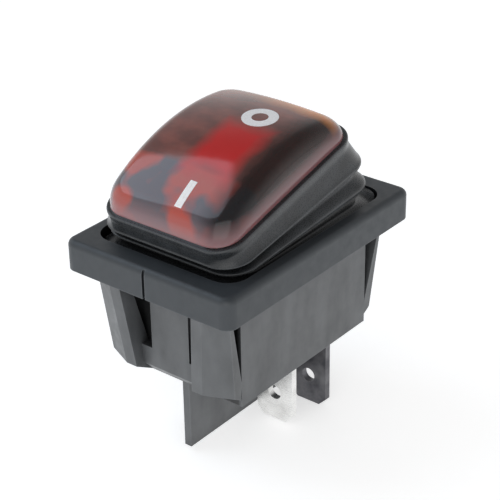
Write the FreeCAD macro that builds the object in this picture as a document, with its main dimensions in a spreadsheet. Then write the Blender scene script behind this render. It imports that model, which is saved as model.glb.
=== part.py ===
# A sealed, lit rocker switch for a panel: two poles, on and off.
#
# The housing, its bezel and its snap wings are one moulding. A translucent cap rides on a
# carrier that turns on two trunnions, and a pleated rubber boot joins the cap to the bezel.
# Two sprung plungers under the carrier tip two contact levers, each on the edge of its
# common terminal, and each lever closes on the contact of its load terminal.
#
# Frame: the origin is the centre of the bezel's underside, the plane that seats on the
# panel. X runs along the bezel towards the end marked off, Z points out of the panel.
# The rocker is modelled pressed at its other end, as it stands when the switch is on.

import FreeCAD, Part
import math
import os
import re
import Sketcher

os.makedirs("parts", exist_ok=True)
doc = FreeCAD.newDocument("sealed_rocker_switch")
sheet = doc.addObject("Spreadsheet::Sheet", "Sizes")

# Driving sizes, in millimetres and degrees
SIZES = {
    # bezel and housing
    "rim_end": 2.5,
    "rim_side": 1.6,
    "boot_room_end": 1.3,
    "boot_room_side": 0.2,
    "bezel_height": 3.4,
    "bezel_corner": 1.3,
    "bezel_edge": 0.7,
    "recess_depth": 2.4,
    "recess_corner": 2.4,
    "body_length": 21.7,
    "body_width": 16.9,
    "body_depth": 12.0,
    "wall": 1.4,
    "floor_thickness": 1.6,
    "notch_width": 0.35,
    "notch_depth": 0.3,
    # snap wings and middle rib on each end of the body
    "rib_stand": 1.25,
    "rib_width": 5.1,
    "slot_bottom": 3.6,
    "wing_gap": 1.2,
    "wing_root_height": 1.4,
    "wing_stand_low": 2.45,
    "wing_stand_high": 3.35,
    "wing_back_stand": 1.75,
    "wing_slant": 0.44,
    "wing_bed": 2.0,
    "wing_inner_low": 3.8,
    "wing_inner_high": 4.8,
    "wing_flat_low": 5.2,
    "wing_flat_high": 6.2,
    "wing_tuck": 0.05,
    "wing_flare": 0.45,
    # insulating wall between the poles
    "barrier_thickness": 0.9,
    "barrier_inset": 0.95,
    "barrier_drop": 8.9,
    "barrier_rise": 6.8,
    # pivot
    "pivot_height": 0.9,
    "half_throw": 14.5,
    "trunnion_radius": 1.2,
    "bearing_depth": 1.05,
    "pivot_clearance": 0.05,
    "ear_length": 5.2,
    "ear_stand": 0.6,
    "ear_thickness": 1.35,
    "ear_margin": 0.5,
    "ear_chamfer": 1.0,
    "ear_foot": 4.0,
    # running ends, joins and small gaps
    "end_play": 0.1,
    "join": 0.3,
    "side_gap": 0.2,
    # rocker cap
    "rim_height": 8.6,
    "cap_length": 22.0,
    "cap_width": 16.6,
    "cap_height": 4.6,
    "cap_crown": 24.0,
    "cap_corner": 2.8,
    "cap_edge": 1.7,
    "cap_wall": 1.2,
    # rocker carrier
    "fit_gap": 0.05,
    "plate_rise": 0.6,
    "neck_height": 1.4,
    "flange_thickness": 0.8,
    "flange_margin": 0.6,
    "flange_corner": 2.1,
    "tube_radius": 1.7,
    "tube_drop": 2.6,
    "bore_radius": 1.25,
    "roof_thickness": 0.7,
    "web_thickness": 1.2,
    "gusset_reach": 5.0,
    # boot
    "boot_wall": 0.7,
    "boot_lip": 0.35,
    "pleat_reach": 0.9,
    "pleat_fold": 0.85,
    "bead_height": 0.8,
    # poles
    "blade_margin": 0.15,
    "blade_width": 4.8,
    "blade_thickness": 0.8,
    "common_reach": 8.6,
    "load_reach": 9.5,
    "blade_hole": 1.7,
    "hole_height": 3.4,
    "tip_chamfer": 0.9,
    "shelf_margin": 0.35,
    "shelf_length": 2.9,
    "slot_clearance": 0.05,
    "stop_inset": 0.1,
    # plungers
    "plunger_radius": 1.15,
    "plunger_reach": 6.1,
    "plunger_length": 5.0,
    "plunger_tip_cut": 0.6,
    "spigot_radius": 0.5,
    "spigot_height": 0.8,
    # contact levers
    "lever_thickness": 0.6,
    "lever_width": 4.4,
    "tail_room": 2.45,
    "nose_margin": 1.4,
    "lever_throw": 8.0,
    "lever_corner": 0.7,
    "lever_gap": 0.05,
    "waist_depth": 0.55,
    "waist_length": 1.3,
    "horn_height": 1.0,
    "horn_width": 0.65,
    "edge_bevel": 0.35,
    "contact_margin": 1.5,
    "contact_radius": 1.2,
    "contact_height": 0.6,
    "shank_radius": 0.6,
    "shank_clearance": 0.02,
    "peen_radius": 0.9,
    "peen_height": 0.25,
    "rest_length": 0.8,
    "rest_width": 3.0,
    # lamp and its leads
    "lamp_radius": 1.0,
    "lamp_length": 6.0,
    "lamp_start": -5.2,
    "lamp_end_cut": 0.5,
    "resistor_radius": 0.7,
    "resistor_length": 3.4,
    "resistor_start": 2.0,
    "lead_radius": 0.25,
    "lead_spread": 0.5,
    "lead_margin": 2.15,
    "lead_offset": 1.38,
    "tab_length": 1.7,
    # coil springs
    "spring_wire": 0.3,
    "plunger_spring_radius": 0.85,
    "plunger_spring_turns": 6,
    "lamp_spring_radius": 0.55,
    "lamp_spring_turns": 9,
}

# Sizes that follow from the driving ones
FOLLOWING = {
    "recess_length": "cap_length + 2 * (pleat_reach + boot_room_end)",
    "recess_width": "cap_width + 2 * (pleat_reach + boot_room_side)",
    "bezel_length": "recess_length + 2 * rim_end",
    "bezel_width": "recess_width + 2 * rim_side",
    "rib_reach": "body_length / 2 + rib_stand",
    "wing_front_low": "body_length / 2 + wing_stand_low",
    "wing_front_high": "body_length / 2 + wing_stand_high",
    "wing_back_high": "body_length / 2 + wing_back_stand",
    "wing_outer_low": "body_width / 2 - wing_tuck",
    "wing_outer_high": "body_width / 2 + wing_flare",
    "barrier_length": "body_length - 2 * barrier_inset",
    "ear_face": "body_width / 2 - wall - ear_stand",
    "pole_spacing": "body_width - 2 * (wall + blade_margin) - blade_width",
    "shelf_end": "body_length / 2 - wall - shelf_margin",
    "load_offset": "shelf_end - shelf_length",
    "contact_offset": "shelf_end - contact_margin",
    "lever_tail": "body_length / 2 - wall - tail_room",
    "lever_nose": "contact_offset + nose_margin",
    "lead_reach": "cap_length / 2 - cap_wall - fit_gap - lead_margin",
}
cells = list(SIZES.items()) + [(alias, "=" + rule) for alias, rule in FOLLOWING.items()]
for row, (alias, content) in enumerate(cells, start=1):
    sheet.set(f"A{row}", alias)
    sheet.set(f"B{row}", str(content))
    sheet.setAlias(f"B{row}", alias)
doc.recompute()

MATHS = {"sin", "cos", "tan", "min", "max"}


def tie(text):
    """Turn an expression on size names into one on the sheet's cells."""
    return re.sub(r"[a-z_]+", lambda word: word[0] if word[0] in MATHS else "Sizes." + word[0], str(text))


def value(text):
    """The number that an expression on size names gives now."""
    found = sheet.evalExpression(tie(text))
    return float(getattr(found, "Value", found))


# Places that several pieces share, as expressions on the sizes
RECESS_FLOOR = "(bezel_height - recess_depth)"
FLOOR_TOP = "(floor_thickness - body_depth)"
CAVITY_X = "(body_length / 2 - wall)"
CAVITY_Y = "(body_width / 2 - wall)"
POLE = "(pole_spacing / 2)"
COMMON_TIP = "(-body_depth - common_reach)"
LOAD_TIP = "(-body_depth - load_reach)"
FULCRUM = "(pivot_height - plunger_reach - lever_gap - lever_thickness)"
LOAD_REST = ("(pivot_height - plunger_reach - 2 * lever_gap - lever_thickness"
             " - (contact_offset + contact_radius) * sin(lever_throw) - contact_height * cos(lever_throw))")
SHELF_TOP = f"({LOAD_REST} - contact_height)"
CAP_INNER_X = "(cap_length / 2 - cap_wall)"
CAP_INNER_Y = "(cap_width / 2 - cap_wall)"
NECK_X = f"({CAP_INNER_X} - fit_gap)"
NECK_Y = f"({CAP_INNER_Y} - fit_gap)"
PLATE_TOP = "(rim_height + plate_rise)"
NECK_FOOT = "(rim_height - neck_height)"
FLANGE_FOOT = "(rim_height - neck_height - flange_thickness)"
TUBE_ROOF = "(rim_height - neck_height - flange_thickness - roof_thickness)"
LAMP_HEIGHT = "(rim_height + lamp_radius)"
LEAD_SPOT = f"(lead_reach * cos(half_throw) - {FLANGE_FOOT} * sin(half_throw))"

# The boot's folds from its bead up: each one's drawn-in share of the fold, its share of the
# boot's rise, and its share of the rocker's tilt
FOLDS = ((1, 0.26, 0.12), (0, 0.42, 0.33), (1, 0.53, 0.5), (0.1, 0.64, 0.68))
LIP_FOOT = (0.88, 0.97)


def box(x0, x1, y0, y1):
    """The corners of a rectangle."""
    return [(x0, y0), (x1, y0), (x1, y1), (x0, y1)]


def centred(half_x, half_y):
    """The corners of a rectangle about the origin."""
    return box(f"-({half_x})", half_x, f"-({half_y})", half_y)


def flipped(points, first, second=1):
    """An outline with each axis multiplied by 1 or -1, its corners still anticlockwise."""
    turned = [(f"{first} * ({x})", f"{second} * ({y})") for x, y in points]
    return turned if first * second > 0 else turned[::-1]


def across(side, low, high):
    """The lower and upper end of a span on one side of zero."""
    return (low, high) if side > 0 else (f"-({high})", f"-({low})")


class Piece:
    """One piece of the switch, built feature by feature as a body."""

    planes = {"z": "XY_Plane", "y": "XZ_Plane", "x": "YZ_Plane"}

    def __init__(self, name):
        self.body = doc.addObject("PartDesign::Body", name)
        self.body.Label = name

    @property
    def shape(self):
        return self.body.Tip.Shape

    def sketch(self, axis, place, outlines):
        """Closed outlines on the plane that the axis crosses at that place. An outline is a list of
        corners, or the word circle with a centre and a radius."""
        plane = next(p for p in self.body.Origin.OriginFeatures if p.Role == self.planes[axis])
        drawn = self.body.newObject("Sketcher::SketchObject", "outline")
        drawn.AttachmentSupport = (plane, [""])
        drawn.MapMode = "FlatFace"
        away = f"-({place})" if axis == "y" else place
        drawn.setExpression("AttachmentOffset.Base.z", tie(away))
        for outline in outlines:
            if outline[0] == "circle":
                self.draw_circle(drawn, *outline[1:])
            else:
                self.draw_outline(drawn, outline)
        return drawn

    def draw_outline(self, drawn, corners):
        """Lines from corner to corner, the corners in anticlockwise order and each tied to its two
        expressions. A third entry in a corner is the radius of an outward arc that leaves it."""
        first = drawn.GeometryCount
        count = len(corners)
        spots = [FreeCAD.Vector(value(corner[0]), value(corner[1]), 0) for corner in corners]
        for index, corner in enumerate(corners):
            here, there = spots[index], spots[(index + 1) % count]
            curve = self.arc(here, there, value(corner[2])) if len(corner) > 2 else Part.LineSegment(here, there)
            drawn.addGeometry(curve, False)
        for index, corner in enumerate(corners):
            line, following = first + index, first + (index + 1) % count
            drawn.addConstraint(Sketcher.Constraint("Coincident", line, 2, following, 1))
            self.pin_point(drawn, line, 1, corner[0], corner[1])
            if len(corner) > 2:
                self.size_curve(drawn, line, corner[2])

    @staticmethod
    def arc(here, there, radius):
        """The short arc from here to there that bows to the right of the way from here."""
        chord = there - here
        side = FreeCAD.Vector(chord.y, -chord.x, 0).normalize()
        sag = radius - math.sqrt(radius ** 2 - (chord.Length / 2) ** 2)
        return Part.Arc(here, (here + there) * 0.5 + side * sag, there)

    @staticmethod
    def pin_point(drawn, curve, end, x, y):
        """Tie one point of a curve to its two expressions."""
        for kind, text in (("DistanceX", x), ("DistanceY", y)):
            tied = drawn.addConstraint(Sketcher.Constraint(kind, -1, 1, curve, end, value(text)))
            drawn.setExpression(f"Constraints[{tied}]", tie(text))

    @staticmethod
    def size_curve(drawn, curve, radius):
        """Tie a curve's radius to its expression."""
        tied = drawn.addConstraint(Sketcher.Constraint("Radius", curve, value(radius)))
        drawn.setExpression(f"Constraints[{tied}]", tie(radius))

    def draw_circle(self, drawn, x, y, radius):
        """A circle tied to its centre and radius."""
        centre = FreeCAD.Vector(value(x), value(y), 0)
        ring = drawn.addGeometry(Part.Circle(centre, FreeCAD.Vector(0, 0, 1), value(radius)), False)
        self.pin_point(drawn, ring, 3, x, y)
        self.size_curve(drawn, ring, radius)

    def feature(self, kind, axis, start, end, outlines, place):
        drawn = self.sketch(axis, place, outlines)
        made = self.body.newObject(kind, "step")
        made.Profile = drawn
        made.setExpression("Length", tie(f"({end}) - ({start})"))
        doc.recompute()
        return made

    def add(self, axis, start, end, *outlines):
        """Add the outlines' prism between two places on the axis."""
        self.feature("PartDesign::Pad", axis, start, end, outlines, end if axis == "y" else start)

    def cut(self, axis, start, end, *outlines):
        """Cut the outlines' prism between two places on the axis."""
        before = self.shape.Volume
        self.feature("PartDesign::Pocket", axis, start, end, outlines, start if axis == "y" else end)
        if self.shape.Volume > before - 1e-6:
            raise RuntimeError(f"a cut in {self.body.Label} took nothing away")

    def soften(self, kind, size, test):
        """Fillet or chamfer the edges that the test picks."""
        base = self.body.Tip
        names = [f"Edge{i}" for i, edge in enumerate(base.Shape.Edges, start=1) if test(edge)]
        if not names:
            raise RuntimeError(f"no edge of {self.body.Label} fits")
        made = self.body.newObject(f"PartDesign::{kind}", "edges")
        made.Base = (base, names)
        made.setExpression("Radius" if kind == "Fillet" else "Size", tie(size))
        doc.recompute()

    def loft(self, *levels):
        """Add a straight-sided loft through outlines, each at its own height."""
        drawn = [self.sketch("z", height, [outline]) for height, outline in levels]
        made = self.body.newObject("PartDesign::AdditiveLoft", "lofted")
        made.Profile = drawn[0]
        made.Sections = drawn[1:]
        made.Ruled = True
        doc.recompute()

    def turn(self, outline):
        """Add an outline in X and Z turned about Z."""
        drawn = self.sketch("y", "0", [outline])
        made = self.body.newObject("PartDesign::Revolution", "turned")
        made.Profile = drawn
        made.ReferenceAxis = (drawn, ["V_Axis"])
        made.Angle = 360
        doc.recompute()

    def put(self, x="0", y="0", z="0", tilt="0"):
        """Set the piece down at a place, tilted about Y."""
        place(self.body, x, y, z, tilt)
        return self


def place(thing, x, y, z, tilt):
    thing.Placement = FreeCAD.Placement(FreeCAD.Vector(), FreeCAD.Rotation(FreeCAD.Vector(0, 1, 0), value(tilt)))
    for name, text in (("x", x), ("y", y), ("z", z)):
        thing.setExpression(f"Placement.Base.{name}", tie(text))
    thing.setExpression("Placement.Rotation.Angle", tie(tilt))


def upright(edge):
    """Is the edge straight and along Z?"""
    return edge.Curve.TypeId == "Part::GeomLine" and abs(abs(edge.tangentAt(edge.FirstParameter).z) - 1) < 1e-6


def flat_at(height):
    """A test for edges that lie at that height all along."""
    return lambda edge: abs(edge.BoundBox.ZMin - height) < 1e-4 and abs(edge.BoundBox.ZMax - height) < 1e-4


def outside(half_x, half_y):
    """A test for edges beyond a rectangle about the Z axis."""
    def test(edge):
        middle = edge.CenterOfMass
        return abs(middle.x) > half_x - 1e-4 or abs(middle.y) > half_y - 1e-4
    return test


# Housing

def make_housing():
    part = Piece("housing")
    part.add("z", "0", "bezel_height", centred("bezel_length / 2", "bezel_width / 2"))
    part.soften("Fillet", "bezel_corner", upright)
    part.soften("Fillet", "bezel_edge", flat_at(value("bezel_height")))
    part.cut("z", RECESS_FLOOR, "bezel_height", centred("recess_length / 2", "recess_width / 2"))
    rim = outside(value("recess_length / 2 + side_gap"), value("recess_width / 2 + side_gap"))
    part.soften("Fillet", "recess_corner", lambda edge: upright(edge) and not rim(edge))
    part.add("z", "-body_depth", "0", centred("body_length / 2", "body_width / 2"))
    part.cut("z", FLOOR_TOP, RECESS_FLOOR, centred(CAVITY_X, CAVITY_Y))
    add_end_details(part)
    add_pivot_ears(part)
    add_barrier(part)
    cut_terminal_slots(part)
    part.cut("z", "0", "bezel_height",
             box("-bezel_length / 2 - 1", "notch_depth - bezel_length / 2", "-notch_width / 2", "notch_width / 2"))
    return part


def wing_outline(back, front, inner, flat, outer):
    """A wing's section: a flat front and a slanting flank."""
    return [(back, inner), (front, inner), (front, flat), (f"{front} - ({outer} - {flat}) * wing_slant", outer),
            (back, outer)]


def add_end_details(part):
    """On each end: a middle rib on a shared root, and two wings that lean out towards the panel."""
    face, toe, sill = "body_length / 2", "(wing_root_height - body_depth)", "(slot_bottom - body_depth)"
    root = [(face, "-body_depth"), ("rib_reach", toe), ("rib_reach", sill), (face, sill)]
    low = "wing_inner_low", "wing_flat_low", "wing_outer_low"
    high = "wing_inner_high", "wing_flat_high", "wing_outer_high"
    levels = [("-body_depth", wing_outline(f"{face} - wing_bed", face, *low)),
              (toe, wing_outline(f"{face} - join", "wing_front_low", *low)),
              ("-wing_gap", wing_outline("wing_back_high", "wing_front_high", *high))]
    for end in (1, -1):
        part.add("y", "-wing_inner_low - join", "wing_inner_low + join", flipped(root, end))
        part.add("z", sill, "0", box(*across(end, face, "rib_reach"), "-rib_width / 2", "rib_width / 2"))
        for side in (1, -1):
            part.loft(*((height, flipped(outline, end, side)) for height, outline in levels))


def add_pivot_ears(part):
    """An ear on each long wall, with a blind bearing for the trunnion."""
    top, half, slope = "(pivot_height + trunnion_radius + ear_margin)", "(ear_length / 2)", "ear_chamfer"
    ear = [(f"-{half}", "-ear_foot"), (half, "-ear_foot"), (half, f"{top} - {slope}"), (f"{half} - {slope}", top),
           (f"{slope} - {half}", top), (f"-{half}", f"{top} - {slope}")]
    bearing = ("circle", "0", "pivot_height", "trunnion_radius + pivot_clearance")
    for side in (1, -1):
        part.add("y", *across(side, "ear_face", "ear_face + ear_thickness"), ear)
        part.cut("y", *across(side, "ear_face", "ear_face + bearing_depth"), bearing)


def add_barrier(part):
    """The insulating wall on the centre line, inside the body and below it, and a stop for each lever."""
    half = "barrier_thickness / 2"
    part.add("z", FLOOR_TOP, f"{FLOOR_TOP} + barrier_rise", centred(CAVITY_X, half))
    part.add("z", "-body_depth - barrier_drop", "-body_depth", centred("barrier_length / 2", half))
    back = "(lever_tail - stop_inset)"
    top = f"({FULCRUM} - {back} * tan(lever_throw) - lever_gap)"
    for side in (1, -1):
        row = f"({side} * pole_spacing / 2)"
        part.add("z", FLOOR_TOP, top,
                 box(f"-{back}", f"rest_length - {back}", f"{row} - rest_width / 2", f"{row} + rest_width / 2"))


def cut_terminal_slots(part):
    """A slot through the floor for each blade."""
    thick, wide = "(blade_thickness / 2 + slot_clearance)", "(blade_width / 2 + slot_clearance)"
    slots = []
    for side in (1, -1):
        row = f"({side} * pole_spacing / 2)"
        for middle in ("0", "load_offset"):
            slots.append(box(f"{middle} - {thick}", f"{middle} + {thick}", f"{row} - {wide}", f"{row} + {wide}"))
    part.cut("z", "-body_depth", FLOOR_TOP, *slots)


# Boot

def ring(half_x, half_y, corner, height, share):
    """A rounded rectangle about the rocker's axis, at a height over the pivot. It leans by a
    share of the rocker's own tilt, and each corner is three straight runs."""
    centres = [FreeCAD.Vector(sx * (half_x - corner), sy * (half_y - corner), height)
               for sx, sy in ((1, 1), (-1, 1), (-1, -1), (1, -1))]
    points = [centre + FreeCAD.Rotation(90 * index + turn, 0, 0).multVec(FreeCAD.Vector(corner, 0, 0))
              for index, centre in enumerate(centres) for turn in (0, 30, 60, 90)]
    wire = Part.makePolygon(points + points[:1])
    wire.rotate(FreeCAD.Vector(), FreeCAD.Vector(0, 1, 0), -share * value("half_throw"))
    wire.translate(FreeCAD.Vector(0, 0, value("pivot_height")))
    return wire


def boot_rings(inset):
    """The boot's rings from its bead to its lip, drawn in by the inset."""
    reach = [value(f"{half} / 2 + pleat_reach") for half in ("cap_length", "cap_width")]
    lip = [value(f"{half} / 2 + boot_lip") for half in ("cap_length", "cap_width")]
    bead = [value(f"{half} / 2 - side_gap") for half in ("recess_length", "recess_width")]
    foot, top = value(f"{RECESS_FLOOR} - pivot_height"), value("rim_height - fit_gap")
    rise, fold = top - foot, value("pleat_fold")
    levels = [(*bead, foot, 0), (*bead, foot + value("bead_height"), 0)]
    levels += [(reach[0] - drawn * fold, reach[1] - drawn * fold, foot + up * rise, share)
               for drawn, up, share in FOLDS]
    levels += [(*lip, foot + LIP_FOOT[0] * rise, LIP_FOOT[1]), (*lip, top, 1)]
    corner = value("cap_corner") - inset / 2
    return [ring(x - inset, y - inset, corner, height, share) for x, y, height, share in levels]


def make_boot():
    outer = Part.makeLoft(boot_rings(0), True, True)
    inner = Part.makeLoft(boot_rings(value("boot_wall")), True, True)
    piece = doc.addObject("Part::Feature", "boot")
    piece.Label = "boot"
    piece.Shape = outer.cut(inner)
    return piece


# Rocker, drawn upright about its pivot and then tilted

def on_rocker(part, y="0"):
    part.put(y=y, z="pivot_height", tilt="-half_throw")
    return part


def cap_outline(half, foot, top):
    """A flat foot and a top that bows up between two upright ends."""
    sag = "(cap_crown - (cap_crown ^ 2 - (cap_length / 2) ^ 2) ^ 0.5)"
    side = f"({top} - {sag})"
    return [(f"-({half})", foot), (half, foot), (half, side, "cap_crown"), (f"-({half})", side)]


def make_cap():
    part = Piece("rocker_cap")
    top = "(rim_height + cap_height)"
    part.add("y", "-cap_width / 2", "cap_width / 2", cap_outline("cap_length / 2", "rim_height", top))
    part.soften("Fillet", "cap_corner", upright)
    part.soften("Fillet", "cap_edge", lambda edge: edge.BoundBox.ZMin > value("rim_height + fit_gap")
                and not upright(edge))
    part.cut("y", f"-{CAP_INNER_Y}", CAP_INNER_Y, cap_outline(CAP_INNER_X, "rim_height", f"({top} - cap_wall)"))
    return on_rocker(part)


def make_carrier():
    """A plate in the cap, a flange under the cap's rim, two plunger tubes and the trunnions."""
    part = Piece("rocker_carrier")
    part.add("z", NECK_FOOT, PLATE_TOP, centred(NECK_X, NECK_Y))
    part.soften("Fillet", "cap_corner / 2", upright)
    part.add("z", FLANGE_FOOT, NECK_FOOT, centred(f"{NECK_X} + flange_margin", f"{NECK_Y} + flange_margin"))
    neck = outside(value(f"{NECK_X} + fit_gap"), value(f"{NECK_Y} + fit_gap"))
    part.soften("Fillet", "flange_corner", lambda edge: upright(edge) and neck(edge))
    gusset = [("-gusset_reach", FLANGE_FOOT), ("-tube_radius", "0"), ("tube_radius", "0"), ("gusset_reach", FLANGE_FOOT)]
    for side in (1, -1):
        row = f"({side} * pole_spacing / 2)"
        part.add("z", "-tube_drop", FLANGE_FOOT, ("circle", "0", row, "tube_radius"))
        part.add("y", f"{row} - web_thickness / 2", f"{row} + web_thickness / 2", gusset)
        part.cut("z", "-tube_drop", TUBE_ROOF, ("circle", "0", row, "bore_radius"))
        part.add("y", *across(side, f"{POLE} + tube_radius - join", "ear_face + bearing_depth - end_play"),
                 ("circle", "0", "0", "trunnion_radius"))
    part.add("z", "-trunnion_radius / 2", FLANGE_FOOT,
             centred("web_thickness / 2", f"{POLE} - bore_radius - side_gap"))
    part.cut("z", "rim_height", PLATE_TOP,
             box("lamp_start - side_gap", "resistor_start + resistor_length + side_gap", "-lamp_radius - side_gap",
                 "lead_offset + resistor_radius + side_gap"))
    part.cut("z", FLANGE_FOOT, PLATE_TOP,
             *(("circle", "lead_reach", f"{side} * lead_offset", "lead_radius + end_play") for side in (1, -1)))
    return on_rocker(part)


def make_plunger(name, side):
    part = Piece(name)
    top = "(plunger_length - plunger_reach)"
    part.add("z", "-plunger_reach", top, ("circle", "0", "0", "plunger_radius"))
    part.soften("Chamfer", "plunger_tip_cut", flat_at(value("-plunger_reach")))
    part.add("z", top, f"{top} + spigot_height", ("circle", "0", "0", "spigot_radius"))
    return on_rocker(part, f"{side} * pole_spacing / 2")


def coil(radius, wire, turns, height, runs=8):
    """A coil about Z whose wire has six flats, in straight runs, so many to a turn."""
    rise = (height - wire) / (turns * runs)
    path = [FreeCAD.Vector(radius * math.cos(2 * math.pi * i / runs), radius * math.sin(2 * math.pi * i / runs),
                           wire / 2 + rise * i) for i in range(turns * runs + 1)]
    spine = Part.makePolygon(path)
    across = path[1] - path[0]
    section = Part.makeCircle(wire / 2, path[0], across)
    flats = Part.makePolygon(section.discretize(Number=7))
    return spine.makePipeShell([flats], True, False, 1)


def make_coil(name, radius, turns, height, x, y, z, tilt):
    piece = doc.addObject("Part::Feature", name)
    piece.Label = name
    piece.Shape = coil(value(radius), value("spring_wire"), round(value(turns)), value(height))
    place(piece, x, y, z, tilt)
    return piece


def make_plunger_spring(name, side):
    foot = "(plunger_length - plunger_reach)"
    height = f"{TUBE_ROOF} - {foot} - 2 * fit_gap"
    lift = f"({foot} + fit_gap)"
    return make_coil(name, "plunger_spring_radius", "plunger_spring_turns", height,
                     f"-{lift} * sin(half_throw)", f"{side} * pole_spacing / 2",
                     f"pivot_height + {lift} * cos(half_throw)", "-half_throw")


# Lamp, its resistor and its leads, in the carrier's trough

def wire_along(points, radius):
    """A round wire with sharp bends along the points."""
    spine = Part.makePolygon(points)
    section = Part.Wire([Part.makeCircle(radius, points[0], points[1] - points[0])])
    return spine.makePipeShell([section], True, False, 1)


def make_bulb():
    part = Piece("lamp_bulb")
    part.add("x", "lamp_start", "lamp_start + lamp_length", ("circle", "0", LAMP_HEIGHT, "lamp_radius"))
    part.soften("Chamfer", "lamp_end_cut", lambda edge: edge.Curve.TypeId == "Part::GeomCircle")
    return on_rocker(part)


def lead_points(side, start):
    """From the lamp or resistor's end along the trough, then down through the plate."""
    row = side * value("lead_offset")
    level, reach = value(LAMP_HEIGHT), value("lead_reach")
    return [FreeCAD.Vector(*start), FreeCAD.Vector(reach, row, level),
            FreeCAD.Vector(reach, row, value(f"{FLANGE_FOOT} + end_play"))]


def make_lead():
    start = (value("lamp_start + lamp_length"), -value("lead_spread"), value(LAMP_HEIGHT))
    piece = doc.addObject("Part::Feature", "lamp_lead")
    piece.Label = "lamp_lead"
    piece.Shape = wire_along(lead_points(-1, start), value("lead_radius"))
    place(piece, "0", "0", "pivot_height", "-half_throw")
    return piece


def make_resistor():
    row, level = value("lead_offset"), value(LAMP_HEIGHT)
    start, length = value("resistor_start"), value("resistor_length")
    body = Part.makeCylinder(value("resistor_radius"), length, FreeCAD.Vector(start, row, level), FreeCAD.Vector(1, 0, 0))
    lamp_end = FreeCAD.Vector(value("lamp_start + lamp_length"), value("lead_spread"), level)
    inward = wire_along([lamp_end, FreeCAD.Vector(start + value("join"), row, level)], value("lead_radius"))
    outward = wire_along(lead_points(1, (start + length - value("join"), row, level)), value("lead_radius"))
    piece = doc.addObject("Part::Feature", "lamp_resistor")
    piece.Label = "lamp_resistor"
    piece.Shape = body.fuse([inward, outward]).removeSplitter()
    place(piece, "0", "0", "pivot_height", "-half_throw")
    return piece


def make_lamp_spring(name, side):
    """From the load terminal's tab to the lead's end under the carrier's flange."""
    top = f"(pivot_height + {FLANGE_FOOT} * cos(half_throw) + lead_reach * sin(half_throw) - lamp_spring_radius)"
    return make_coil(name, "lamp_spring_radius", "lamp_spring_turns", f"{top} - {SHELF_TOP} - 2 * fit_gap",
                     LEAD_SPOT, f"{side} * lead_offset", f"{SHELF_TOP} + fit_gap", "0")


# Poles

def make_lever(name, side):
    part = Piece(name)
    half = "lever_width / 2"
    waist = "(lever_width / 2 - waist_depth)"
    part.add("z", "0", "lever_thickness", box("-lever_tail", "lever_nose", f"-({half})", half))
    for notch in (box("-waist_length / 2", "waist_length / 2", waist, "lever_width"),
                  box("-waist_length / 2", "waist_length / 2", "-lever_width", f"-{waist}")):
        part.cut("z", "0", "lever_thickness", notch)
    part.cut("z", "0", "lever_thickness", ("circle", "contact_offset", "0", "shank_radius + shank_clearance"))
    ends = value("join - lever_tail"), value("lever_nose - join")
    part.soften("Fillet", "lever_corner", lambda edge: upright(edge) and not ends[0] < edge.CenterOfMass.x < ends[1])
    return part.put(y=f"{side} * pole_spacing / 2", z=FULCRUM, tilt="lever_throw")


def make_moving_contact(name, side):
    """A rivet through the lever, its button below."""
    part = Piece(name)
    part.turn([("0", "-contact_height"), ("contact_radius", "-contact_height"), ("contact_radius", "0"),
               ("shank_radius", "0"), ("shank_radius", "lever_thickness"), ("peen_radius", "lever_thickness"),
               ("peen_radius", "lever_thickness + peen_height"), ("0", "lever_thickness + peen_height")])
    return part.put(x="contact_offset * cos(lever_throw)", y=f"{side} * pole_spacing / 2",
                    z=f"{FULCRUM} - contact_offset * sin(lever_throw)", tilt="lever_throw")


def make_fixed_contact(name, side):
    """A rivet through the load terminal's shelf, its button on top."""
    part = Piece(name)
    part.turn([("0", "-blade_thickness - peen_height"), ("peen_radius", "-blade_thickness - peen_height"),
               ("peen_radius", "-blade_thickness"), ("shank_radius", "-blade_thickness"),
               ("shank_radius", "0"), ("contact_radius", "0"), ("contact_radius", "contact_height"),
               ("0", "contact_height")])
    return part.put(x="contact_offset", y=f"{side} * pole_spacing / 2", z=SHELF_TOP)


def finish_blade(part, middle, end):
    """The tab's hole and its two cut corners."""
    part.cut("x", f"{middle} - blade_thickness", f"{middle} + blade_thickness",
             ("circle", "0", f"{end} + hole_height", "blade_hole / 2"))
    tip = value(end)
    part.soften("Chamfer", "tip_chamfer", lambda edge: edge.BoundBox.ZMax < tip + value("join")
                and edge.BoundBox.YLength < value("join"))


def make_common_terminal(name, side):
    """A blade whose top edge carries the lever between two horns."""
    part = Piece(name)
    thick, wide = "blade_thickness / 2", "blade_width / 2"
    top = f"({FULCRUM} - lever_gap / 2)"
    part.add("y", f"-({wide})", wide, [(f"-({thick})", COMMON_TIP), (thick, COMMON_TIP), (thick, f"{top} - edge_bevel"),
                                       ("0", top), (f"-({thick})", f"{top} - edge_bevel")])
    for end in (1, -1):
        part.add("x", f"-({thick})", thick,
                 box(*across(end, f"{wide} - horn_width", wide), f"{top} - horn_height", f"{top} + horn_height"))
    finish_blade(part, "0", COMMON_TIP)
    return part.put(y=f"{side} * pole_spacing / 2")


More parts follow.
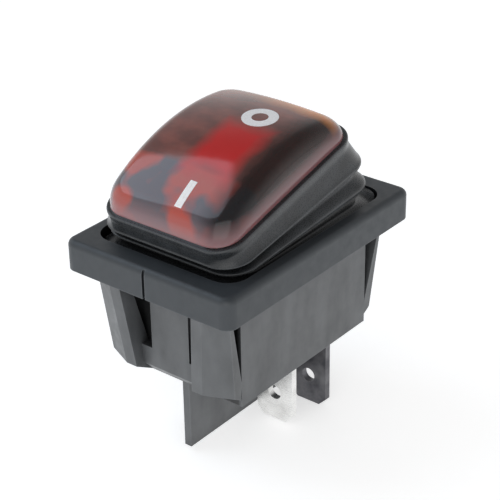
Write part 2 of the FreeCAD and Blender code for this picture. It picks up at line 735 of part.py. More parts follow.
def make_load_terminal(name, side):
    """A blade bent over into a shelf for the fixed contact, with a tab for the lamp's spring."""
    part = Piece(name)
    wide = "blade_width / 2"
    back, front = "(load_offset - blade_thickness / 2)", "(load_offset + blade_thickness / 2)"
    under = f"({SHELF_TOP} - blade_thickness)"
    part.add("y", f"-({wide})", wide, [(back, LOAD_TIP), (front, LOAD_TIP), (front, under), ("shelf_end", under),
                                       ("shelf_end", SHELF_TOP), (back, SHELF_TOP)])
    reach = f"({POLE} - lead_offset + lamp_spring_radius + spring_wire / 2)"
    part.add("z", under, SHELF_TOP, box(f"{LEAD_SPOT} - tab_length / 2",
                                        f"max({LEAD_SPOT} + tab_length / 2; load_offset)",
                                        *across(-side, f"{wide} - join", reach)))
    part.cut("z", under, SHELF_TOP, ("circle", "contact_offset", "0", "shank_radius + shank_clearance"))
    finish_blade(part, "load_offset", LOAD_TIP)
    return part.put(y=f"{side} * pole_spacing / 2")


def build():
    made = [make_housing(), make_boot(), make_cap(), make_carrier(), make_bulb(), make_lead(), make_resistor()]
    for side, word in ((-1, "near"), (1, "far")):
        made += [
            make_plunger(f"plunger_{word}", side),
            make_plunger_spring(f"plunger_spring_{word}", side),
            make_lever(f"contact_lever_{word}", side),
            make_moving_contact(f"moving_contact_{word}", side),
            make_fixed_contact(f"fixed_contact_{word}", side),
            make_common_terminal(f"common_terminal_{word}", side),
            make_load_terminal(f"load_terminal_{word}", side),
            make_lamp_spring(f"lamp_spring_{word}", side),
        ]
    return [getattr(piece, "body", piece) for piece in made]


pieces = build()
doc.recompute()

for thing in doc.Objects:
    if "Invalid" in thing.State or "Error" in thing.State:
        raise RuntimeError(f"{thing.Label} didn't recompute")
for piece in pieces:
    if piece.Shape.isNull() or not piece.Shape.isValid() or not piece.Shape.Solids:
        raise RuntimeError(f"{piece.Label} has no sound solid")

for piece in pieces:
    piece.Shape.exportStep(f"parts/{piece.Label}.step")
    print(f"{piece.Label}: {piece.Shape.Volume:.2f} mm3, {len(piece.Shape.Solids)} solid")
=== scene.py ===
# The looks of a sealed, lit rocker switch, laid over its imported frame.
#
# The cap and the pleated boot are modelled again here as smooth forms, and the four springs are plain
# copies. Every other piece is the imported solid with its own material. All places are in metres in the
# frame's own axes.

import math

import bmesh
import bpy
from mathutils import Matrix, Vector


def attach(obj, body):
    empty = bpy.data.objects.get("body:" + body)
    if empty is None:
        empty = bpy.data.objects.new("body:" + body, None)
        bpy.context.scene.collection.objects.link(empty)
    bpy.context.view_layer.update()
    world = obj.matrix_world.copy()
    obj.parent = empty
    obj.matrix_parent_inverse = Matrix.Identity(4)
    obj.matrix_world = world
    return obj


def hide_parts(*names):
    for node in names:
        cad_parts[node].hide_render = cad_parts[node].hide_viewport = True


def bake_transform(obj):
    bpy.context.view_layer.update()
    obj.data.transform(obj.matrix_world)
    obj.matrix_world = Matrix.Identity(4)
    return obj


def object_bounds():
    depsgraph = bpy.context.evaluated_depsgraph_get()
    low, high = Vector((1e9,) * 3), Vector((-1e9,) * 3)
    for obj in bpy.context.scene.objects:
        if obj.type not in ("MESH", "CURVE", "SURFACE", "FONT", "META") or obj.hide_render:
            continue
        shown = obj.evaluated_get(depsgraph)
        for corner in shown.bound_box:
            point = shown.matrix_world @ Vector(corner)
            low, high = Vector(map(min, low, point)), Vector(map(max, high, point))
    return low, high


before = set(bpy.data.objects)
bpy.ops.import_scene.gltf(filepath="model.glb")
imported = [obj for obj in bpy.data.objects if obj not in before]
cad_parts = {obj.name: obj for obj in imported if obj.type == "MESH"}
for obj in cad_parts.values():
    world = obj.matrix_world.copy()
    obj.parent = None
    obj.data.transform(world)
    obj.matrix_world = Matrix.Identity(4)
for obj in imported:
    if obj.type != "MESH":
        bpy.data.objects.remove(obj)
cad_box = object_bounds()

MM = 0.001
# The rocker at rest: its tilt, its pivot and the height of the cap's rim over the pivot
TILT = math.radians(14.5)
PIVOT = Vector((0, 0, 0.9 * MM))
RIM = 8.6 * MM
# The cap: half lengths, corner radius, rise over the rim, radius of the bowed top and wall
CAP_HALF = (11.0 * MM, 8.3 * MM)
CAP_CORNER = 2.8 * MM
CAP_RISE = 4.6 * MM
CAP_CROWN = 24.0 * MM
CAP_WALL = 1.2 * MM
# The housing: the floor and half lengths of the bezel's recess, and the body's half lengths
RECESS_FLOOR = 1.0 * MM
RECESS_HALF = (13.22 * MM, 9.42 * MM)
BODY_HALF = (10.85 * MM, 8.45 * MM)
# Each pole's distance from the middle
POLE_ROW = 4.5 * MM
# The floor lies at the part's lowest point
FLOOR_HEIGHT = cad_box[0][2]


# Shader nodes

class Value:
    """A number that changes over a surface. Sums on it are written as Python."""

    def __init__(self, nodes, socket):
        self.nodes, self.socket = nodes, socket

    def work(self, operation, *terms):
        made = self.nodes.node("ShaderNodeMath", {"operation": operation}, dict(enumerate(terms)))
        return Value(self.nodes, made.outputs[0])

    def __add__(self, other):
        return self.work("ADD", self, other)

    def __sub__(self, other):
        return self.work("SUBTRACT", self, other)

    def __rsub__(self, other):
        return self.work("SUBTRACT", other, self)

    def __mul__(self, other):
        return self.work("MULTIPLY", self, other)

    def __truediv__(self, other):
        return self.work("DIVIDE", self, other)

    def __rtruediv__(self, other):
        return self.work("DIVIDE", other, self)

    def __abs__(self):
        return self.work("ABSOLUTE", self)

    __radd__, __rmul__ = __add__, __mul__

    def or_larger(self, other):
        return self.work("MAXIMUM", self, other)


class Nodes:
    """A node tree that is wired up by short calls."""

    def __init__(self, tree):
        self.tree = tree
        self.tree.nodes.clear()

    def node(self, kind, settings=None, sockets=None):
        """A node with its settings, then the values or links of its sockets."""
        made = self.tree.nodes.new(kind)
        for name, setting in (settings or {}).items():
            setattr(made, name, setting)
        for name, content in (sockets or {}).items():
            self.plug(made.inputs[name], content)
        return made

    def plug(self, socket, content):
        """Link a socket to another, or set its own value."""
        content = getattr(content, "socket", content)
        if isinstance(content, bpy.types.NodeSocket):
            self.tree.links.new(content, socket)
        else:
            socket.default_value = content

    def between(self, value, low, high, start=0.0, end=1.0):
        """Map a value from one range to another, held at its ends."""
        made = self.node("ShaderNodeMapRange", sockets={"Value": value, "From Min": start, "From Max": end,
                                                        "To Min": low, "To Max": high})
        return Value(self, made.outputs[0])

    def blend(self, share, first, second):
        """A colour between two, by a share."""
        return self.node("ShaderNodeMix", {"data_type": "RGBA"}, {0: share, 6: first, 7: second}).outputs[2]

    def shade(self, share, colour):
        """A colour scaled by a share."""
        return self.blend(share, BLACK, colour)

    def split(self, vector):
        """The three numbers of a vector."""
        parts = self.node("ShaderNodeSeparateXYZ", sockets={0: vector})
        return [Value(self, socket) for socket in parts.outputs]


class Shader(Nodes):
    """A material with one principled surface."""

    def __init__(self, name):
        self.material = bpy.data.materials.new(name)
        self.material.use_nodes = True
        super().__init__(self.material.node_tree)
        self.surface = self.node("ShaderNodeBsdfPrincipled")
        self.out = self.node("ShaderNodeOutputMaterial", sockets={0: self.surface.outputs[0]})
        self.place = self.node("ShaderNodeTexCoord").outputs["Object"]

    def noise(self, cells, detail=3.0, stretch=(1, 1, 1)):
        """Noise over the object, so many cells to a metre."""
        spread = self.node("ShaderNodeMapping", sockets={"Vector": self.place, "Scale": stretch}).outputs[0]
        made = self.node("ShaderNodeTexNoise", sockets={"Vector": spread, "Scale": cells, "Detail": detail})
        return Value(self, made.outputs[0])

    def bump(self, height, depth, strength=1.0):
        """Bump from a height of 0 to 1, that many metres deep."""
        sockets = {"Height": height, "Distance": depth, "Strength": strength}
        return self.node("ShaderNodeBump", sockets=sockets).outputs[0]

    def edge_sharpness(self, radius, low, high):
        """How sharply the surface turns near an edge, between two shares."""
        bevel = self.node("ShaderNodeBevel", {"samples": 4}, {"Radius": radius}).outputs[0]
        straight = self.node("ShaderNodeNewGeometry").outputs["Normal"]
        likeness = self.node("ShaderNodeVectorMath", {"operation": "DOT_PRODUCT"}, {0: bevel, 1: straight})
        return self.between(likeness.outputs["Value"], 1.0, 0.0, low, high)

    def painted_crevice_shade(self, reach, darkest, full):
        """Painted shade in crevices: how open the surroundings are within a reach, as a share from the
        darkest crevice up to 1.
        """
        painted_shade = self.node("ShaderNodeAmbientOcclusion", {"samples": 6}, {"Distance": reach})
        return self.between(painted_shade.outputs["AO"], darkest, 1.0, 0.15, full)

    def done(self, sockets):
        """Plug in the surface's sockets and give the material."""
        for name, content in sockets.items():
            self.plug(self.surface.inputs[name], content)
        return self.material


# Materials

BLACK, WHITE = (0, 0, 0, 1), (1, 1, 1, 1)
TIN = (0.90, 0.90, 0.89, 1), (0.72, 0.72, 0.71, 1)
# A darker tin for the load terminal: painted shade and painted reflection of the shaded parts around it
SHADED_TIN = (0.17, 0.17, 0.18, 1), (0.06, 0.06, 0.07, 1)
COPPER = (0.80, 0.42, 0.26, 1), (0.55, 0.25, 0.14, 1)
SILVER = (0.90, 0.90, 0.89, 1), (0.70, 0.70, 0.70, 1)
STEEL = (0.62, 0.62, 0.63, 1), (0.40, 0.40, 0.42, 1)
# A painted patch of light in the cap over the lamp, drawn upright: its middle in x and y, and its two half
# lengths
GLOW = (-1.3 * MM, -2.0 * MM, 4.8 * MM, 3.4 * MM)
# The cap's colours. Noise blends between the two browns of the top, and the two tones of the pressed end
CAP_BROWN = (0.17, 0.055, 0.046, 1), (0.28, 0.082, 0.064, 1)
CAP_END = (0.12, 0.10, 0.12, 1), (0.52, 0.085, 0.06, 1)
CAP_RIM = (0.30, 0.14, 0.15, 1)
CAP_LIT = (0.66, 0.010, 0.010, 1)
CAP_AMBER_GLINT = (0.95, 0.31, 0.04, 1)
# Where the housing's painted shade changes: below the bezel, under its top, away from the end walls and
# towards the body's corners. The last number is how much darker the painted shade makes the recess and the
# slots
BEZEL_FADE = (-0.9 * MM, 0.1 * MM)
TOP_FADE = (3.0 * MM, 3.3 * MM)
END_WALL_FADE = (0.15 * MM, 0.5 * MM)
CORNER_FADE = (0.5 * MM, 0.2 * MM)
HIDDEN_SHADE = 0.88


def grey(level, blue=1.12):
    """A grey that leans to blue when its last number is over 1."""
    return (level, level * (1 + blue) / 2, level * blue, 1)


def brighter(colour, times):
    """A colour scaled up and held at white."""
    return tuple(min(1, times * part) for part in colour[:3]) + (1,)


def moulded_plastic(name, dark, light, wear=0.35, bezel=None):
    """Matt moulded plastic: a spark grain, faint flow marks, rubbed edges and painted shade in crevices.
    With a tone for the bezel it is the housing's: the bezel's tone is a darker painted shade, and painted
    shade darkens its recess and the slots in its end walls."""
    shader = Shader(name)
    worn = shader.edge_sharpness(0.18 * MM, 0.86, 0.995) * wear
    flow = shader.between(shader.noise(420, 4.0, (1, 1, 0.35)), 0, 1, 0.3, 0.7)
    tone = shader.blend(flow, dark, light)
    if bezel:
        # Painted shade: the bezel gets a darker tone, and the recess under its top and the slots in the end
        # walls are darkened
        x, y, height = shader.split(shader.place)
        above = shader.between(height, 0, 1, *BEZEL_FADE)
        outward = (abs(x) / RECESS_HALF[0]).or_larger(abs(y) / RECESS_HALF[1])
        recess_shade = shader.between(outward, 1, 0, 1.0, 1.01) * shader.between(height, 1, 0, *TOP_FADE)
        slot_shade = shader.between(abs(abs(x) - BODY_HALF[0]), 1, 0, *END_WALL_FADE)
        corner = [BODY_HALF[1] - inset for inset in CORNER_FADE]
        slot_shade = slot_shade * shader.between(abs(y), 1, 0, *corner)
        painted_shade = above * recess_shade + (1 - above) * slot_shade
        tone = shader.shade(1 - painted_shade * HIDDEN_SHADE, shader.blend(above, tone, bezel))
    # Painted shade: crevices, slots and corners are darkened by how enclosed they are
    crevice_shade_share = shader.painted_crevice_shade(3.2 * MM, 0.12, 0.75)
    return shader.done({
        "Base Color": shader.shade(crevice_shade_share, shader.blend(worn, tone, brighter(light, 1.9))),
        "Roughness": shader.between(shader.noise(900), 0.38, 0.52, 0.3, 0.7),
        "Normal": shader.bump(shader.noise(16000, 2.0), 3.0e-6, 0.8),
    })


def boot_rubber():
    """Black rubber: satin, a little dusty, with a very fine skin. Painted shade makes it nearly black deep
    in the folds, and a painted highlight lightens the pleats' sharp bends.
    """
    shader = Shader("boot_rubber")
    skin_grain = shader.noise(9000)
    dust = shader.between(shader.noise(700, 5.0), 0, 1, 0.35, 0.75)
    # Painted highlight along the pleats' sharp bends
    crest_highlight = shader.edge_sharpness(0.3 * MM, 0.9, 0.999) * 0.5
    tone = shader.blend(dust, grey(0.011, 1.3), grey(0.026, 1.3))
    tone = shader.blend(crest_highlight, tone, grey(0.10, 1.2))
    return shader.done({
        # Painted shade deep in the folds
        "Base Color": shader.shade(shader.painted_crevice_shade(1.6 * MM, 0.1, 0.8), tone),
        "Roughness": shader.between(skin_grain, 0.22, 0.36, 0.3, 0.7),
        "Sheen Weight": 0.15,
        "Sheen Roughness": 0.4,
        "Normal": shader.bump(skin_grain, 4.0e-6, 0.7),
    })


def cap_plastic():
    """Translucent red under a gloss skin: a painted patch of light over the lamp, brown around it, painted
    shade along the near side, patchy grey at the pressed end, pinkish at the rim and a painted amber glint
    at the raised end."""
    shader = Shader("cap_plastic")
    local = shader.node("ShaderNodeVectorMath", {"operation": "SUBTRACT"}, {0: shader.place, 1: PIVOT})
    upright = shader.node("ShaderNodeVectorRotate", {"rotation_type": "AXIS_ANGLE"},
                          {"Vector": local.outputs[0], "Axis": (0, 1, 0), "Angle": TILT})
    x, y, z = shader.split(upright.outputs[0])
    ripple = shader.noise(260) * 0.5
    # Painted light: a bright patch in the cap over the lamp
    reach = (abs(x - GLOW[0]) / GLOW[2]).or_larger(abs(y - GLOW[1]) / GLOW[3])
    lit = shader.between(reach + ripple - 0.25, 1.0, 0.0, 0.55, 1.05)
    height = shader.between(z, 0.0, 1.0, RIM, RIM + 2.2 * MM)
    cloud = shader.between(shader.noise(420, 4.0, (1, 0.6, 1)), 0.0, 1.0, 0.38, 0.62)
    top = shader.blend(cloud, *CAP_BROWN)
    patch = shader.between(shader.noise(230, 1.5), 0.0, 1.0, 0.44, 0.53)
    low_end = shader.blend(patch, *CAP_END)
    top = shader.blend(shader.between(x + ripple * MM, 0, 1, -4.9 * MM, -4.3 * MM), low_end, top)
    # Painted shade along the near side; the coat is thinner there too
    near_side_shade = shader.between(y + ripple * MM, 0.1, 1.0, -6.4 * MM, -3.8 * MM)
    body = shader.blend(height, CAP_RIM, shader.shade(near_side_shade, top))
    # Painted glint: amber along the raised end's top edge
    amber = shader.between(x + ripple * 2 * MM, 0, 0.95, 7.9 * MM, 9.6 * MM)
    amber = amber * shader.between(y, 1, 0.15, -4 * MM, 4 * MM)
    amber = amber * shader.between(z, 0, 1, RIM + 1.2 * MM, RIM + 2.6 * MM)
    return shader.done({
        "Base Color": shader.blend(amber, shader.blend(lit, body, CAP_LIT), CAP_AMBER_GLINT),
        "Roughness": shader.between(shader.noise(1500), 0.10, 0.17, 0.3, 0.7),
        "IOR": 1.56,
        "Specular IOR Level": 0.35,
        "Transmission Weight": 0.22,
        "Coat Weight": shader.between(near_side_shade, 0.15, 0.5, 0.1, 1.0),
        "Coat Roughness": 0.09,
        "Subsurface Weight": 0.25,
        "Subsurface Scale": 0.0012,
        "Subsurface Radius": (1.0, 0.15, 0.1),
        "Normal": shader.bump(shader.noise(330, 2.0), 1.2e-5, 0.5),
    })


def print_white():
    """White pad print, a little thin and uneven."""
    shader = Shader("print_white")
    thin = shader.noise(5200, 4.0)
    faded = shader.between(thin, 0, 1, 0.3, 0.75)
    return shader.done({
        "Base Color": shader.blend(faded, (0.97, 0.97, 0.98, 1), (0.84, 0.81, 0.81, 1)),
        "Roughness": shader.between(thin, 0.3, 0.45),
        "Normal": shader.bump(thin, 4.0e-6, 0.6),
    })


def sheet_metal(name, light, dark, rough=(0.2, 0.38), stretch=(1, 1, 14)):
    """Rolled and stamped metal: fine drawn lines, stains and brighter rubbed edges."""
    shader = Shader(name)
    lines = shader.noise(1400, 4.0, stretch)
    rubbed = shader.edge_sharpness(0.1 * MM, 0.8, 0.99) * 0.6
    stain = shader.between(shader.noise(650, 4.0), 0, 1, 0.35, 0.75)
    return shader.done({
        "Base Color": shader.blend(rubbed, shader.blend(stain, light, dark), brighter(light, 1.15)),
        "Roughness": shader.between(lines, *rough, 0.3, 0.7),
        "Metallic": 1.0,
        "Normal": shader.bump(lines, 3.0e-6, 0.7),
    })


def lamp_glass():
    """Thin clear glass with a warm tint and faint drawn streaks."""
    shader = Shader("lamp_glass")
    streak = shader.noise(1200, 2.0, (8, 1, 1))
    return shader.done({
        "Base Color": shader.blend(streak, (0.95, 0.82, 0.72, 1), (0.85, 0.68, 0.58, 1)),
        "Roughness": shader.between(streak, 0.02, 0.1),
        "Transmission Weight": 0.8,
        "IOR": 1.5,
    })


def resistor_coat():
    """A lacquered body, uneven in tone."""
    shader = Shader("resistor_coat")
    grain = shader.noise(2600)
    return shader.done({
        "Base Color": shader.blend(grain, (0.55, 0.43, 0.27, 1), (0.42, 0.31, 0.19, 1)),
        "Roughness": shader.between(grain, 0.25, 0.4),
        "Normal": shader.bump(grain, 5.0e-6, 0.6),
    })


def dress_nodes():
    """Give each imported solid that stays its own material."""
    spring = sheet_metal("spring_steel", *STEEL, stretch=(1, 1, 1))
    silver = sheet_metal("contact_silver", *SILVER, rough=(0.15, 0.3), stretch=(1, 1, 1))
    looks = {
        # The housing's bezel tone is a darker painted shade
        "housing": moulded_plastic("housing_plastic", grey(0.075, 1.1), grey(0.115, 1.1),
                                   bezel=grey(0.034, 1.35)),
        "rocker_carrier": moulded_plastic("carrier_plastic", grey(0.10, 0.95), grey(0.14, 0.95)),
        "plunger": moulded_plastic("plunger_plastic", grey(0.62, 0.9), grey(0.72, 0.92), wear=0.1),
        "plunger_spring": spring,
        "lamp_spring": spring,
        "contact_lever": sheet_metal("lever_copper", *COPPER, stretch=(12, 1, 1)),
        "moving_contact": silver,
        "fixed_contact": silver,
        "common_terminal": sheet_metal("terminal_tin", *TIN),
        # The load terminal's darker tin is painted shade
        "load_terminal": sheet_metal("load_tin_shaded", *SHADED_TIN, rough=(0.3, 0.5)),
        "lamp_bulb": lamp_glass(),
        "lamp_lead": sheet_metal("lead_tin", *TIN, stretch=(6, 1, 1)),
        "lamp_resistor": resistor_coat(),
    }
    for name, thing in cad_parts.items():
        look = looks.get(name) or looks.get(name.rsplit("_", 1)[0])
        if look and thing.material_slots:
            for slot in thing.material_slots:
                slot.material = look
        elif look:
            thing.data.materials.append(look)


# Meshes

# Runs in each quarter of a ring's corner, and in its straight sides along x and y
ARC, RUN_X, RUN_Y = 12, 26, 18


def tilt(points):
    """Points drawn upright about the pivot, in the rocker's place at rest."""
    turn = Matrix.Rotation(-TILT, 3, "Y")
    return [turn @ point + PIVOT for point in points]


def plan_ring(half_x, half_y, corner, height, share=1.0):
    """A rounded rectangle of even runs, leaning by a share of the tilt. Its height is a number, or a
    function of x and y."""
    centres = [(half_x - corner, half_y - corner), (corner - half_x, half_y - corner),
               (corner - half_x, corner - half_y), (half_x - corner, corner - half_y)]
    flat = []
    for index, (cx, cy) in enumerate(centres):
        for step in range(ARC + 1):
            angle = math.radians(90 * (index + step / ARC))
            flat.append((cx + corner * math.cos(angle), cy + corner * math.sin(angle)))
        following = centres[(index + 1) % 4]
        angle = math.radians(90 * (index + 1))
        start = flat[-1]
        end = (following[0] + corner * math.cos(angle), following[1] + corner * math.sin(angle))
        runs = RUN_X if index % 2 == 0 else RUN_Y
        flat += [(start[0] + (end[0] - start[0]) * k / runs, start[1] + (end[1] - start[1]) * k / runs)
                 for k in range(1, runs)]
    turn = Matrix.Rotation(-TILT * share, 3, "Y")
    lift = height if callable(height) else (lambda x, y: height)
    return [turn @ Vector((x, y, lift(x, y))) + PIVOT for x, y in flat]


def skin(name, rings, closed=False, smooth=True):
    """Quads between rings of equal count. The last ring joins the first, or else each end gets a face."""
    count = len(rings[0])
    points = [tuple(point) for ring in rings for point in ring]
    faces = []
    for level in range(len(rings) if closed else len(rings) - 1):
        low, high = level * count, (level + 1) % len(rings) * count
        faces += [(low + k, low + (k + 1) % count, high + (k + 1) % count, high + k) for k in range(count)]
    if not closed:
        faces += [tuple(reversed(range(count))), tuple(range((len(rings) - 1) * count, len(rings) * count))]
    mesh = bpy.data.meshes.new(name)
    mesh.from_pydata(points, [], faces)
    mesh.validate()
    for face in mesh.polygons:
        face.use_smooth = smooth
    thing = bpy.data.objects.new(name, mesh)
    bpy.context.scene.collection.objects.link(thing)
    tidy = bmesh.new()
    tidy.from_mesh(mesh)
    bmesh.ops.recalc_face_normals(tidy, faces=tidy.faces)
    tidy.to_mesh(mesh)
    tidy.free()
    return thing


# Cap

CROSS_DOME = 0.6 * MM
SHOULDER = 1.9 * MM
SHOULDER_STEPS = 12
# How much of the shoulder's inset the corners' radius loses
SHOULDER_CORNER = 0.9
FOOT_ROUND = 0.12 * MM
FOOT_STEPS = 3
# The rings of the top and of the hollow's ceiling, as shares of the outermost
TOP_SHARES = (0.9, 0.78, 0.64, 0.5, 0.36, 0.22, 0.1, 0.02)
CEILING_SHARES = (0.02, 0.3, 0.6, 0.9, 1.0)
# The marks: their row, the off ring's middle and radii, the on bar's ends and half width, and how far
# the print reaches over and under the cap's skin
MARK_ROW = -1.7 * MM
OFF_MIDDLE = 4.5 * MM
OFF_RADII = (1.92 * MM, 0.88 * MM)
OFF_STEPS = 64
ON_ENDS = (-9.5 * MM, -6.5 * MM)
ON_HALF = 0.42 * MM
ON_STEPS = 12
PRINT_DEPTH = 0.03 * MM


def cap_top(x, y):
    """The height of the cap's top over the pivot."""
    bow = CAP_CROWN - math.sqrt(CAP_CROWN ** 2 - min(abs(x), CAP_HALF[0]) ** 2)
    return RIM + CAP_RISE - bow - CROSS_DOME * (y / CAP_HALF[1]) ** 2


def cap_ring(inset, corner_inset, height, share=1.0):
    """A ring inside the cap's outline."""
    return plan_ring((CAP_HALF[0] - inset) * share, (CAP_HALF[1] - inset) * share,
                     (CAP_CORNER - corner_inset) * share, height)


def make_cap():
    """Upright walls, a rounded shoulder, a bowed top, and the hollow inside."""
    rings = []
    for step in range(FOOT_STEPS + 1):
        angle = math.radians(90 * step / FOOT_STEPS)
        inset = FOOT_ROUND * (1 - math.sin(angle))
        rings.append(cap_ring(inset, inset, RIM + FOOT_ROUND * (1 - math.cos(angle))))
    for step in range(SHOULDER_STEPS + 1):
        angle = math.radians(90 * step / SHOULDER_STEPS)
        inset, drop = SHOULDER * (1 - math.cos(angle)), SHOULDER * (1 - math.sin(angle))
        rings.append(cap_ring(inset, inset * SHOULDER_CORNER,
                              lambda x, y, drop=drop: max(cap_top(x, y) - drop, RIM + FOOT_ROUND)))
    for share in TOP_SHARES:
        rings.append(cap_ring(SHOULDER, SHOULDER * SHOULDER_CORNER, cap_top, share))
    inner = [cap_ring(CAP_WALL, CAP_WALL, lambda x, y: cap_top(x, y) - CAP_WALL, share)
             for share in CEILING_SHARES]
    inner.append(cap_ring(CAP_WALL, CAP_WALL, RIM))
    outer = skin("cap_shell", inner + rings)
    outer.data.materials.append(cap_plastic())
    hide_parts("rocker_cap")
    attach(outer, "rocker")


def decal(name, loops, look):
    """A thin print on the cap's top between an outer and an inner loop of (x, y) places."""
    places = ((loops[0], -PRINT_DEPTH), (loops[0], PRINT_DEPTH),
              (loops[1], PRINT_DEPTH), (loops[1], -PRINT_DEPTH))
    rings = [[Vector((x, y, cap_top(x, y) + off)) for x, y in loop] for loop, off in places]
    thing = skin(name, [tilt(ring) for ring in rings], closed=True, smooth=False)
    thing.data.materials.append(look)
    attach(thing, "rocker")


def make_marks():
    """A ring for off at the raised end and a bar for on at the pressed end."""
    white = print_white()
    turns = [2 * math.pi * k / OFF_STEPS for k in range(OFF_STEPS)]
    decal("mark_off", [[(OFF_MIDDLE + r * math.cos(a), MARK_ROW + r * math.sin(a)) for a in turns]
                       for r in OFF_RADII], white)
    start, end = ON_ENDS
    edge = [start + (end - start) * k / ON_STEPS for k in range(ON_STEPS + 1)]
    # The bar's inner loop is a sliver along its middle
    decal("mark_on", [[(x, MARK_ROW - half) for x in edge] + [(x, MARK_ROW + half) for x in reversed(edge)]
                      for half in (ON_HALF, ON_HALF * 0.02)], white)


# Boot

# The bead reaches further along the bezel, and rises at the rocker's raised end. Both fade out over a
# share of the boot's rise below the bead's top
BEAD_REACH = 1.1 * MM
BEAD_TOP = 0.235
BEAD_FADE = 0.07
END_RISE = 0.8 * MM
END_START = 0.4 * MM
END_FADE = 0.1
BOOT_WALL = 0.62 * MM
LIP_GAP = 0.03 * MM
RINGS_PER_FOLD = 3
# Each ring from bead to lip: reach beyond the cap's half size in millimetres, height over the recess's
# floor as a share of the boot's rise, share of the rocker's tilt
FOLDS = ((0.90, 0.00, 0.00), (0.90, 0.10, 0.00), (0.88, 0.165, 0.01), (0.55, 0.205, 0.05),
         (0.10, 0.235, 0.10), (0.05, 0.27, 0.13), (0.30, 0.32, 0.20), (0.80, 0.38, 0.29),
         (0.93, 0.415, 0.33), (0.88, 0.445, 0.37), (0.45, 0.49, 0.44), (0.10, 0.525, 0.50),
         (0.12, 0.55, 0.54), (0.42, 0.59, 0.60), (0.84, 0.63, 0.66), (0.90, 0.66, 0.70),
         (0.78, 0.69, 0.74), (0.58, 0.76, 0.84), (0.40, 0.84, 0.94), (0.35, 0.88, 0.98),
         (0.38, 0.92, 1.00), (0.42, 0.97, 1.00), (0.36, 0.998, 1.00), (0.20, 1.00, 1.00))


def between_folds(place):
    """The fold table read smoothly at a place from 0 to its last row."""
    index = min(int(place), len(FOLDS) - 2)
    share = place - index
    before, after = FOLDS[max(index - 1, 0)], FOLDS[min(index + 2, len(FOLDS) - 1)]
    here, there = FOLDS[index], FOLDS[index + 1]
    return [0.5 * (2 * b + (c - a) * share + (2 * a - 5 * b + 4 * c - d) * share ** 2
                   + (3 * b - a - 3 * c + d) * share ** 3)
            for a, b, c, d in zip(before, here, there, after)]


def make_boot():
    """Pleats that lie level at the bead and lean more and more towards the lip."""
    steps = RINGS_PER_FOLD * (len(FOLDS) - 1)
    foot = RECESS_FLOOR - PIVOT.z
    rise = RIM - LIP_GAP - foot
    outer, inner = [], []
    for step in range(steps + 1):
        reach, up, share = between_folds(step / RINGS_PER_FOLD)
        spread = min(1, max(0, (BEAD_TOP - up) / BEAD_FADE))
        along, corner = BEAD_REACH * spread, CAP_CORNER + (0.3 - 0.7 * spread) * MM
        climb = END_RISE * spread * min(1, up / END_FADE)

        def height(x, y, level=foot + up * rise, climb=climb):
            return level + climb * min(1, max(0, (x - CAP_HALF[0] - END_START) / MM))

        for rings, wall in ((outer, 0.0), (inner, BOOT_WALL)):
            rings.append(plan_ring(CAP_HALF[0] + reach * MM + along - wall, CAP_HALF[1] + reach * MM - wall,
                                   corner - wall / 2, height, share))
    boot = skin("boot_pleats", outer + inner[::-1], closed=True)
    boot.data.materials.append(boot_rubber())
    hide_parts("boot")
    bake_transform(boot)


# Springs

def make_springs():
    """The coils once more, as plain copies of the imported springs."""
    for row, side in ((-POLE_ROW, "near"), (POLE_ROW, "far")):
        make_coil(f"lamp_spring_{side}")
        make_coil(f"plunger_spring_{side}")


def make_coil(node):
    """A copy of an imported spring, in its place."""
    coil = bpy.data.objects.new(f"{node}_coil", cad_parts[node].data.copy())
    bpy.context.scene.collection.objects.link(coil)
    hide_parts(node)
    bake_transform(coil)


# Camera, light and floor

# The camera's azimuth, height and roll in degrees, its place, and its lens in mm on a 36 mm sensor
CAMERA_TURN = (-50.991, 28.198, -0.947)
CAMERA_PLACE = (-0.115735, -0.094786, 0.079088)
CAMERA_LENS = 114.27
LIGHTS_AIM = (0, 0, 0.002)
HORIZON_LIGHT, OVERHEAD_LIGHT = 0.84, 0.28
FLOOR_GAP = 0.02 * MM
FLOOR_GLOW = 0.55


def make_camera():
    """The photograph's own camera, worked out from the bezel's and body's corners."""
    azimuth, height, roll = (math.radians(angle) for angle in CAMERA_TURN)
    back = Vector((math.sin(azimuth) * math.cos(height), -math.cos(azimuth) * math.cos(height),
                   math.sin(height)))
    right = Vector((math.cos(azimuth), math.sin(azimuth), 0))
    up = back.cross(right)
    rolled = math.cos(roll) * right + math.sin(roll) * up
    upright = math.cos(roll) * up - math.sin(roll) * right
    camera = bpy.data.objects.new("camera", bpy.data.cameras.new("camera"))
    bpy.context.scene.collection.objects.link(camera)
    turn = Matrix((rolled, upright, back)).transposed().to_4x4()
    camera.matrix_world = Matrix.Translation(CAMERA_PLACE) @ turn
    camera.data.sensor_width = 36
    camera.data.lens = CAMERA_LENS
    camera.data.clip_start = 0.005
    bpy.context.scene.camera = camera


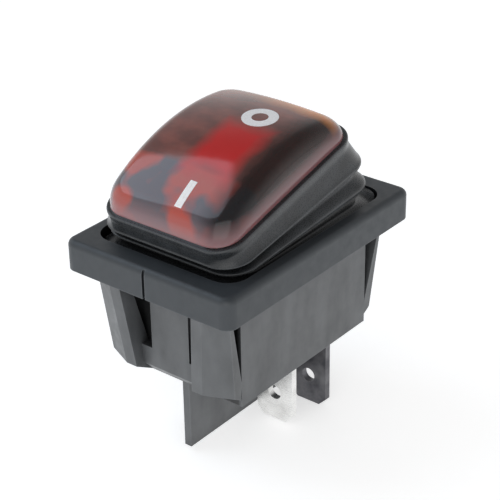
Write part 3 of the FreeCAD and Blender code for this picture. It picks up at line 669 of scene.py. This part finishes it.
def area_light(name, spot, size, strength, colour=(1, 1, 1)):
    """A square soft light that faces the object. Strength is its brightness seen straight on."""
    lamp = bpy.data.lights.new(name, "AREA")
    lamp.size = size
    lamp.energy = strength * math.pi * size ** 2
    lamp.color = colour
    thing = bpy.data.objects.new(name, lamp)
    bpy.context.scene.collection.objects.link(thing)
    aim = Vector(LIGHTS_AIM) - Vector(spot)
    thing.matrix_world = Matrix.Translation(spot) @ aim.to_track_quat("-Z", "Y").to_matrix().to_4x4()


def make_world():
    """A plain soft studio: brighter near the horizon than overhead, and white behind the object."""
    world = bpy.data.worlds.new("studio")
    bpy.context.scene.world = world
    world.use_nodes = True
    nodes = Nodes(world.node_tree)
    height = nodes.split(nodes.node("ShaderNodeTexCoord").outputs["Generated"])[2]
    sky = nodes.between(height, HORIZON_LIGHT, OVERHEAD_LIGHT, 0.2, 0.75)
    seen = Value(nodes, nodes.node("ShaderNodeLightPath").outputs["Is Camera Ray"])
    shine = nodes.node("ShaderNodeBackground", sockets={"Color": WHITE, "Strength": sky + seen * (1 - sky)})
    nodes.node("ShaderNodeOutputWorld", sockets={0: shine.outputs[0]})


def make_floor():
    """A plain pale floor under the blades and the insulating wall."""
    bpy.ops.mesh.primitive_plane_add(size=3.0, location=(0, 0, FLOOR_HEIGHT - FLOOR_GAP))
    floor = bpy.context.object
    floor.name = "floor"
    shader = Shader("floor_paper")
    fibre = shader.noise(220, 4.0)
    paper = shader.done({"Base Color": shader.blend(fibre, (0.93, 0.93, 0.93, 1), (0.90, 0.90, 0.90, 1)),
                         "Roughness": shader.between(fibre, 0.8, 0.9)})
    glow = shader.node("ShaderNodeEmission", sockets={"Color": WHITE, "Strength": FLOOR_GLOW})
    both = shader.node("ShaderNodeAddShader", sockets={0: shader.surface.outputs[0], 1: glow.outputs[0]})
    shader.plug(shader.out.inputs[0], both.outputs[0])
    floor.data.materials.append(paper)


dress_nodes()
make_cap()
make_marks()
make_boot()
make_springs()
make_camera()
make_world()
make_floor()
area_light("window", spot=(-0.07, 0.17, 0.20), size=0.20, strength=1.5, colour=(0.70, 0.82, 0.96))
area_light("front", spot=(-0.24, -0.14, 0.12), size=0.30, strength=0.85)
bpy.context.scene.view_settings.view_transform = "Standard"
